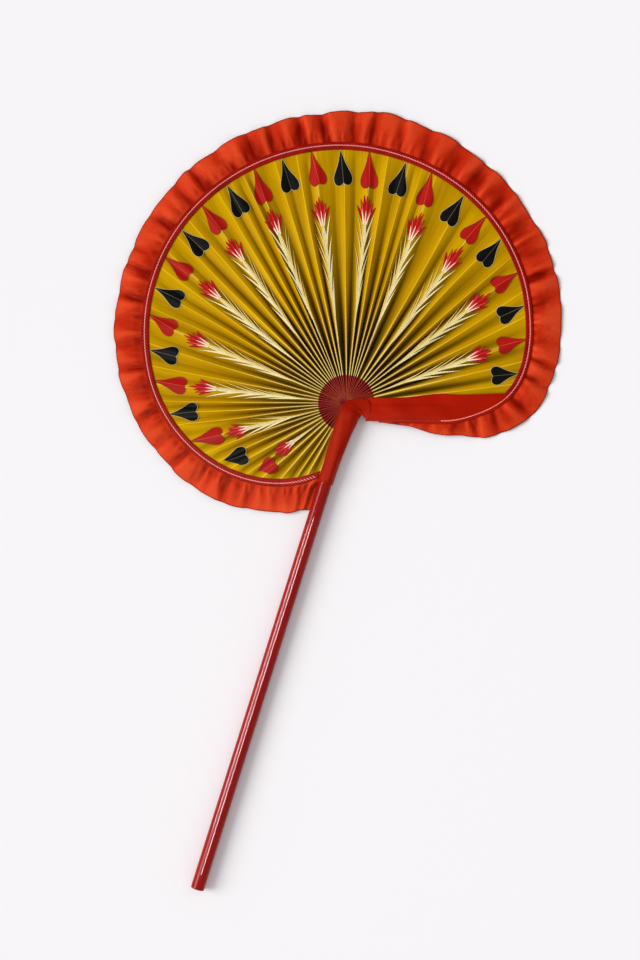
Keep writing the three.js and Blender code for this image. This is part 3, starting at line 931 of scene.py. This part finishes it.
ruffle = {
    "width": 40, "start": 14, "columns": 1500, "rows": 24, "thickness": 0.5, "wave": 3.9,
    "tuck": 10, "seed": 5, "tucked": 0.1, "lowest": 0.5, "belowStick": 0.8,
    "seam": 0.3, "hem": (0.55, 0.45), "hemSides": 8, "hemSteps": 1400, "cutShare": 1.05,
    # least and largest spacing of the folds, their number and their least height
    "folds": (22, 40, 70, 0.4), "crimps": (11, 24, 130, 0.1), "puckers": (6, 13, 260, 0.2),
    "tapeHeights": [(0, 8), (0.1, 8.6), (0.33, 8.6), (0.45, 8.4), (1, 8.4)],
    "hemHeights": [(0, 4), (0.1, 1), (0.33, 1), (0.45, 3.6), (1, 3.6)],
    "widthShares": [
        (0, 0), (0.04, 0.17), (0.058, 0.36), (0.085, 0.5), (0.1, 0.74), (0.12, 0.95), (0.14, 1.06),
        (0.18, 0.94), (0.26, 1.12), (0.4, 1.12), (0.425, 1.1), (0.44, 1.16), (0.458, 1.04),
        (0.48, 0.99), (0.52, 0.94), (0.6, 0.96), (0.66, 0.94), (0.7, 0.92), (0.75, 0.92),
        (0.81, 0.81), (0.84, 0.8), (0.87, 0.83), (0.9, 0.96), (0.935, 0.97), (0.965, 1.02),
        (0.98, 1.06), (1, 1.24)],
    "foldShares": [
        (0, 0.4), (0.1, 0.7), (0.15, 0.65), (0.25, 0.7), (0.33, 0.9), (0.45, 1), (0.75, 0.95),
        (0.9, 0.85), (0.96, 0.5), (1, 0.3)],
}
chance = np.random.default_rng(ruffle["seed"])
gathers = {}
for kind in ("folds", "crimps", "puckers"):
    nearest, farthest, count, least = ruffle[kind]
    places = np.concatenate([[0], np.cumsum(chance.uniform(nearest, farthest, count))])
    gathers[kind] = places, chance.uniform(least, 1.0, 400)


def gatherAt(distance, kind):
    # how many folds of a kind have passed, and the height of the present one
    places, heights = gathers[kind]
    passed = np.interp(distance, places, np.arange(len(places)))
    return passed, np.interp(passed, np.arange(len(heights)), heights)


def ruffleEdge(distance, out):
    # plan point and height of the ruffle's middle; out is 0 at the tape and 1 at the hem
    share = distance / rimLength
    fold, tall = gatherAt(distance, "folds")
    crimp, fine = gatherAt(distance, "crimps")
    pucker, small = gatherAt(distance, "puckers")
    tall = tall * table(ruffle["foldShares"], share)
    slant = 0.2 * np.sin(1.7 * fold) * out
    main = -np.cos(2 * math.pi * (fold + slant) + 0.7 * np.sin(2 * math.pi * fold))
    medium = np.sin(2 * math.pi * (crimp + 0.15 * np.sin(2.3 * crimp) * out))
    second = np.sin(2 * math.pi * pucker)
    inner = clothOutside(distance) + ruffle["seam"]
    width = ruffle["width"] * table(ruffle["widthShares"], share) - swellAt(distance)
    openShare = np.clip(width / ruffle["width"], 0, 1)
    width = width * (1 + (0.022 * np.sin(math.pi * fold + 0.6) + 0.012 * main) * out)
    offset = mix(inner, np.maximum(width, inner + 0.5), out)
    at = besideRim(distance, offset)
    flat = heightAt(at)
    droop = mix(table(ruffle["tapeHeights"], share), table(ruffle["hemHeights"], share), out)
    height = mix(flat, droop, openShare * smooth(out, 0, 0.35))
    mainRise = ruffle["wave"] * smooth(out, -0.05, 0.55) * (1 - 0.32 * smooth(out, 0.6, 1))
    mediumRise = 0.85 * smooth(out, 0, 0.2) * (1 - 0.75 * smooth(out, 0.4, 1))
    smallRise = 0.8 * smooth(out, 0, 0.1) * (1 - smooth(out, 0.15, 0.5))
    height = height + openShare * (
        mainRise * tall * main + mediumRise * fine * medium + smallRise * small * second)
    under = smooth(distance, rimLength - 9, rimLength - 1) * smooth(out, 0.1, 0.3)
    height = mix(height, ruffle["belowStick"], under)  # the end is tucked below the stick
    # how deep the cloth lies in its folds' hollows, which the satin darkens as painted shade
    hollow = (0.5 - 0.5 * main) * tall * (1 - 0.55 * smooth(out, 0.35, 1))
    hollow = hollow + (0.5 - 0.5 * medium) * fine * (0.6 - 0.5 * smooth(out, 0.3, 1))
    hollow = hollow + 0.3 * (0.5 - 0.5 * second) * small * (1 - smooth(out, 0.1, 0.5))
    return at, np.maximum(height, ruffle["lowest"]), hollow


def satin(name, deep, plain, bright, sheen, hollow=None):
    material, start = startMaterial(
        name, Sheen_Weight=sheen, Sheen_Roughness=0.4, Sheen_Tint=(1, 0.2, 0.06, 1),
        Specular_IOR_Level=0.18, Specular_Tint=(1, 0.25, 0.1, 1))
    uv = uvOf(start)
    place = placeOf(start)
    cloud = noise(start, place, 22, 3)
    slub = noise(start, stretched(start, uv, 700, 6), 1, 2)
    tone = ramp(start, cloud * 0.7 + slub * 0.3, (0.2, deep), (0.5, plain), (0.8, bright))
    if hollow:
        # painted shade in the folds' hollows
        shade = attributeOf(start, "hollow")
        tone = start.tint(shade.rise(0.16, 0.92), tone, hollow)
        # and a painted highlight on the folds' crests, in the bright colour
        tone = start.tint((1 - shade.rise(0.0, 0.25)) * 0.5, tone, bright)
    threads = 1500  # in a metre
    across, along = ((place.axis(k) * threads * 2 * math.pi).wave() for k in (0, 1))
    weave = bump(start, across * along, 0.00005, 0.5)
    creases = bump(start, noise(start, place, 90, 3), 0.0006, 0.35, weave)
    return endMaterial(material, tone, 0.4 + 0.14 * slub, creases)


def makeRuffle():
    facts = {}

    def shape(u, v):
        distance = mix(ruffle["start"], rimLength + ruffle["tuck"], u)
        # a tenth of the rows lies between the tapes
        out = ((1 - v) - ruffle["tucked"]) / (1 - ruffle["tucked"])
        at, height, facts["hollow"] = ruffleEdge(distance, np.clip(out, 0, 1))
        tucked = np.clip(-out / (1.1 * ruffle["tucked"]), 0, 1)
        inside = besideRim(distance, mix(clothOutside(distance) + ruffle["seam"], 0.5, tucked))
        at = np.where((out < 0)[:, None], inside, at)
        return at, np.where(out < 0, heightAt(at), height)

    piece = sheetPiece("ruffle_cloth", ruffle["columns"], ruffle["rows"], shape)
    writeAttribute(piece, "hollow", facts["hollow"])
    thicken(piece, ruffle["thickness"], 0)
    # its last colour is the painted shade in the folds' hollows
    cloth = satin(
        "ruffleSatin", (180, 28, 5), (202, 44, 14), (234, 80, 40), 0.2, (142, 10, 0))
    finishPiece(piece, [cloth], ["ruffle"])

    def hemShape(u, v):
        distance = mix(ruffle["start"], rimLength + ruffle["tuck"], v)
        at, height, _ = ruffleEdge(distance, np.ones_like(distance))
        _, out = rim(distance)
        turn = 2 * math.pi * u
        at = at + out * (ruffle["hem"][0] * np.cos(turn))[:, None]
        return at, height + ruffle["hem"][1] * np.sin(turn)

    hem = sheetPiece("ruffle_hem", ruffle["hemSides"], ruffle["hemSteps"], hemShape, closed=True)
    faceOutward(hem, ruffle["hemSides"])
    finishPiece(hem, [
        satin("hemSatin", (104, 12, 4), (124, 16, 6), (140, 22, 8), 0.0)])
    area = clothArea(piece)
    cut = ruffle["width"] * ruffle["cutShare"] * mm
    area / cut * 1.01


makeRuffle()
print("ruffle made")

# Tapes and stitches

tapes = {"thickness": 0.6, "near": 0.75, "columns": 620, "rows": 16, "intoBand": 3}
stitches = {
    "length": 4.6, "width": 1.2, "height": 0.9, "pitch": 3.9, "turn": 11, "near": 1.55,
    "start": 2, "paleFrom": 92, "segments": 8, "rings": 7,
}


def wovenTape():
    material, start = startMaterial(
        "wovenTape", Specular_IOR_Level=0.18, Specular_Tint=(1, 0.3, 0.2, 1))
    uv = uvOf(start)
    place = placeOf(start)
    diagonal = ((uv.axis(0) * 900 + uv.axis(1) * 6) * 2 * math.pi).wave()
    cloud = noise(start, place, 60, 3)
    tone = ramp(
        start, cloud * 0.75 + diagonal * 0.12 + 0.1,
        (0.25, (124, 4, 4)), (0.55, (158, 8, 6)), (0.8, (184, 18, 10)))
    return endMaterial(material, tone, 0.5 + 0.1 * diagonal, bump(start, diagonal, 0.00012, 0.8))


def makeTape(side, word, material):
    begin = bandEnd - tapes["intoBand"]

    def shape(u, v):
        distance = mix(begin, rimLength, u)
        across = v if side > 0 else 1 - v
        offset = mix(plan["tapeOutside"], -plan["tapeInside"], across)
        at = besideRim(distance, offset)
        # the stitching draws the tape in along its middle
        crown = np.where(offset > 0, offset / plan["tapeOutside"], -offset / plan["tapeInside"])
        crown = 0.5 * np.sin(math.pi * np.clip(crown, 0, 1)) ** 0.7
        crown = crown + 0.09 * np.sin(distance / 1.9 + 2 * np.sin(distance / 17))
        return at, heightAt(at) + side * (tapes["near"] + crown)

    piece = sheetPiece("tape_" + word, tapes["columns"], tapes["rows"], shape)
    thicken(piece, tapes["thickness"], 0)
    finishPiece(piece, [material], ["rim_tape_" + word])
    area = clothArea(piece)
    length = (rimLength - begin) * mm
    area / length * 1.01


def twistedThread(name, light, plain, sheen=0.3, specular=0.5):
    material, start = startMaterial(name, Sheen_Weight=sheen, Specular_IOR_Level=specular)
    place = placeOf(start)
    twist = noise(start, place, 900, 2)
    tone = start.tint(twist.rise(0.3, 0.7), plain, light)
    return endMaterial(material, tone, 0.5 + 0.2 * twist, bump(start, twist, 0.0002, 0.8))


def stitchForm():
    # one stitch's points and faces: a ball drawn out along the seam
    deselect()
    bpy.ops.mesh.primitive_uv_sphere_add(
        segments=stitches["segments"], ring_count=stitches["rings"], radius=1)
    ball = bpy.context.object
    points = np.array([vertex.co[:] for vertex in ball.data.vertices])
    faces = [tuple(face.vertices) for face in ball.data.polygons]
    bpy.data.objects.remove(ball)
    points = points[:, [2, 0, 1]]
    points[:, 0] = np.sign(points[:, 0]) * np.abs(points[:, 0]) ** 0.8
    return points * [stitches[size] / 2 for size in ("length", "width", "height")], faces


def makeStitches(side, word, materials, form, formFaces):
    count = int((rimLength - 2 * stitches["start"]) / stitches["pitch"])
    distance = stitches["start"] + (np.arange(count) + 0.5) * stitches["pitch"]
    at = besideRim(distance, np.zeros(count))
    _, out = rim(distance)
    along = np.stack([-out[:, 1], out[:, 0]], -1)
    turn = math.radians(stitches["turn"]) * side
    across = out * math.cos(turn) - along * math.sin(turn)
    along = along * math.cos(turn) + out * math.sin(turn)
    middle = heightAt(at) + side * stitches["near"]
    points = np.empty((count, len(form), 3))
    points[..., :2] = at[:, None] + along[:, None] * form[:, :1] + across[:, None] * form[:, 1:2]
    points[..., 2] = middle[:, None] + form[:, 2]
    faces = [tuple(k * len(form) + n for n in face) for k in range(count) for face in formFaces]
    red = np.repeat((distance < stitches["paleFrom"]).astype(int), len(formFaces))
    piece = meshPiece("stitches_" + word, points.reshape(-1, 3), faces, red)
    faceOutward(piece)
    finishPiece(piece, materials, ["rim_stitching_" + word])


sides = ((1, "front"), (-1, "back"))
tapeMaterial = wovenTape()
threads = [twistedThread("stitchThread", (255, 160, 148), (240, 122, 108)),
           twistedThread("redThread", (186, 66, 50), (160, 30, 20), 0.0, 0.05)]
form, formFaces = stitchForm()
for side, word in sides:
    makeTape(side, word, tapeMaterial)
    makeStitches(side, word, threads, form, formFaces)
print("tapes and stitches made")

# Band over the free edge

band = {
    "thickness": 0.6, "columns": 200, "rows": 26, "cutShare": 1.15, "start": -2.5,
    # the upper edge isn't straight: size, middle and reach of its two bends
    "bends": [(2.4, 88, 26), (-0.8, 45, 20)],
}


def bandShape(side, u, v):
    distance = mix(band["start"], bandEnd, u)
    width = bandWidthAt(distance)
    for size, place, reach in band["bends"]:
        width = width + size * np.exp(-((distance - place) / reach) ** 2)
    across = v if side > 0 else 1 - v
    offset = mix(clothOutside(distance), -width, across)
    at = besideRim(distance, offset)
    near = leafHalf(np.linalg.norm(at, axis=-1)) + 0.35
    inside = -offset
    overRib = smooth(inside, 1.5, 5.5) * (1 - smooth(inside, 17, 21))
    overRib = overRib * (1 - smooth(distance, bandRun - 4, bandRun + 22))
    bow = np.sin(math.pi * across)
    puff = 0.5 * bow**0.5 * smooth(width, 4, 12)
    stretch = 0.3 * np.sin(distance / 7 + across * 5) * (1 - smooth(distance, 60, 150))
    stretch = bow * (stretch + 0.7 * np.sin(9 * across - distance / 21) * smooth(distance, 20, 60))
    elbowFold = 0.8 * (1 - smooth(distance, 0, 16)) * bow**0.7
    lift = near + 1.25 * overRib + puff + 0.85 * stretch + elbowFold
    return at, heightAt(at) + side * lift


def makeBand(side, word, material):
    def shape(u, v):
        return bandShape(side, u, v)

    piece = sheetPiece("band_cloth_" + word, band["columns"], band["rows"], shape)
    thicken(piece, band["thickness"], 0)
    finishPiece(piece, [material], ["band_facing_" + word])
    clothArea(piece)


bandMaterial = satin("bandSatin", (144, 10, 0), (170, 17, 2), (192, 28, 7), 0.12)
for side, word in sides:
    makeBand(side, word, bandMaterial)
print("band made")

# Sleeve

sleeve = {
    "rings": 150, "sides": 108, "thickness": 0.45, "halfHeights": (9.9, 4.4), "fold": 5.3,
    "slit": 1.1, "cut": 66, "lowest": 0.35,
    "outer": [(-5.3, -102.2), (-5.3, -75), (-5.3, -48), (-5.6, -22), (-5.6, -7), (-1.5, 1.2),
              (8, 7.9), (22.9, 14.1)],
    "inner": [(14.0, -102.2), (14.8, -75), (16.6, -48), (18.6, -27), (20.4, -13), (21.8, -8.6),
              (25.5, -9.6), (31.3, -13.2)],
}


def makeSleeve():
    def shape(u, v):
        outer = curveThrough(sleeve["outer"], v)
        inner = curveThrough(sleeve["inner"], v)
        middle, half = (outer + inner) / 2, (outer - inner) / 2
        turn = 2 * math.pi * u
        high = mix(*sleeve["halfHeights"], smooth(v, 0.5, 0.98))
        end = (1 - smooth(v, 0, 0.012)) * 0.4
        crease = 0.28 * np.sin(3 * turn + 9 * v) + 0.18 * np.sin(5 * turn - 14 * v)
        pull = smooth(v, 0.45, 0.62) * (1 - smooth(v, 0.86, 0.97))
        pull = pull * (0.5 - 0.5 * np.cos(turn))
        crease = crease + 0.5 * pull * np.sin(26 * v + 2.5 * np.cos(turn))
        # the cloth's free edge lies along the sleeve as a long fold
        past = turn - sleeve["fold"] - 0.25 * v
        crease = crease - 0.2 * np.exp(-(past / 0.075) ** 2)
        crease = crease + 0.7 * smooth(past, 0, 0.1) * (1 - smooth(turn, 5.9, 6.2))
        swell = 1 + (end + crease * smooth(v, 0, 0.06) * (1 - smooth(v, 0.93, 1))) / 10
        at = middle + half * (np.cos(turn) * swell)[:, None]
        height = plan["axisHeight"] - high * np.sin(turn) * swell
        at = at + bandDirection * (3.2 * np.sin(turn) ** 2 * smooth(v, 0.86, 1))[:, None]
        return at, np.maximum(height, sleeve["lowest"])

    piece = sheetPiece("sleeve", sleeve["sides"], sleeve["rings"], shape, closed=True)
    dropSelection(piece, "FACE")
    # the slit that the leaf comes out of
    for face in piece.data.polygons:
        place = (np.array(face.center) - hub) / mm
        inLeaf = abs(place[2] - heightAt(place[:2])) < sleeve["slit"]
        onLeafSide = place[0] < 0 or place[1] > 0
        face.select = bool(inLeaf and onLeafSide)
    switchTo("EDIT")
    bpy.ops.mesh.delete(type="FACE")
    faceOutward(piece)
    thicken(piece, sleeve["thickness"], -1)
    cloth = satin("sleeveSatin", (132, 9, 0), (155, 15, 2), (174, 24, 6), 0.12)
    finishPiece(piece, [cloth], ["neck_sleeve"])
    area, cut = clothArea(piece), sleeve["cut"] * mm
    area / cut * 1.01


makeSleeve()
print("sleeve made")

# Stick, lashings and rib

stick = {
    "length": 613, "sides": 96, "bevel": 1.6, "bevelSteps": 5,
    "grooveMiddle": (-3, -62), "groove": (14, 92, 3),
}
lashings = {
    "count": 4, "turns": 5, "stepsPerTurn": 40, "sides": 6, "width": 2.4, "thin": 0.17,
    "radius": 8.69,
}


def lacquer():
    material, start = startMaterial(
        "lacquer", Coat_Weight=0.62, Coat_Roughness=0.05, Coat_IOR=1.4, Specular_IOR_Level=0.0)
    place = placeOf(start)
    grain = noise(start, stretched(start, place, 900, 14, 900), 1, 3)
    cloud = noise(start, place, 16, 2)
    tone = ramp(
        start, grain * 0.5 + cloud * 0.5,
        (0.25, (134, 4, 0)), (0.55, (154, 8, 0)), (0.8, (166, 15, 1)))
    return endMaterial(material, tone, 0.24 + 0.12 * grain)


def makeStick():
    deselect()
    below = plan["rodTopBelowHub"] + stick["length"] / 2
    middle = toFrame(np.array([plan["rodOffset"], -below, plan["axisHeight"]]))
    bpy.ops.mesh.primitive_cylinder_add(
        vertices=stick["sides"], radius=plan["rodRadius"] * mm, depth=stick["length"] * mm,
        location=tuple(middle), rotation=(math.pi / 2, 0, 0))
    piece = bpy.context.object
    piece.name = piece.data.name = "stick"
    bpy.ops.object.transform_apply(location=True, rotation=True, scale=True)
    dropSelection(piece, "EDGE")
    for edge in piece.data.edges:
        a, b = (piece.data.vertices[k].co for k in edge.vertices)
        edge.select = abs(a.y - b.y) < 0.0001
    switchTo("EDIT")
    bpy.ops.mesh.bevel(offset=stick["bevel"] * mm, segments=stick["bevelSteps"])
    switchTo("OBJECT")
    bpy.ops.object.shade_smooth_by_angle(angle=math.radians(40))
    # the groove that holds the leaf's edge
    deselect()
    middle = toFrame(np.array([*stick["grooveMiddle"], plan["axisHeight"]]))
    bpy.ops.mesh.primitive_cube_add(size=1, location=tuple(middle))
    cutter = bpy.context.object
    cutter.scale = [size * mm for size in stick["groove"]]
    bpy.ops.object.transform_apply(location=True, rotation=True, scale=True)
    takeUp(piece)
    groove = piece.modifiers.new("groove", "BOOLEAN")
    groove.operation = "DIFFERENCE"
    groove.object = cutter
    bpy.ops.object.modifier_apply(modifier=groove.name)
    bpy.data.objects.remove(cutter)
    finishPiece(piece, [lacquer()], ["handle_rod"])


def makeLashings(material):
    low = -float(rimRadius(0.0)) + leaf["inset"]
    steps = lashings["turns"] * lashings["stepsPerTurn"]
    for number in range(lashings["count"]):
        place = mix(-plan["rodTopBelowHub"], low, (number + 0.5) / lashings["count"])

        def shape(u, v):
            around = 2 * math.pi * lashings["turns"] * v
            away = lashings["radius"] + lashings["thin"] * np.cos(2 * math.pi * u)
            along = lashings["width"] * (v - 0.5) + lashings["thin"] * np.sin(2 * math.pi * u)
            at = np.column_stack([plan["rodOffset"] + away * np.cos(around), place + along])
            return at, plan["axisHeight"] + away * np.sin(around)

        name = "lashing_%d" % (number + 1)
        piece = sheetPiece(name, lashings["sides"], steps, shape, closed=True)
        faceOutward(piece, lashings["sides"])
        finishPiece(piece, [material], ["leaf_" + name])


def cane():
    material, start = startMaterial("splitCane")
    place = placeOf(start)
    fibre = noise(start, stretched(start, place, 300, 900, 300), 1, 3)
    tone = start.tint(fibre, (168, 138, 84), (206, 180, 122))
    return endMaterial(material, tone, 0.5 + 0.2 * fibre, bump(start, fibre, 0.0003, 0.6))


makeStick()
makeLashings(twistedThread("waxedThread", (160, 124, 84), (112, 82, 52)))
rib = next(piece for piece in bpy.data.objects if piece.name.startswith("band_rib"))
rib.data.materials.clear()
rib.data.materials.append(cane())
print("stick, lashings and rib made")
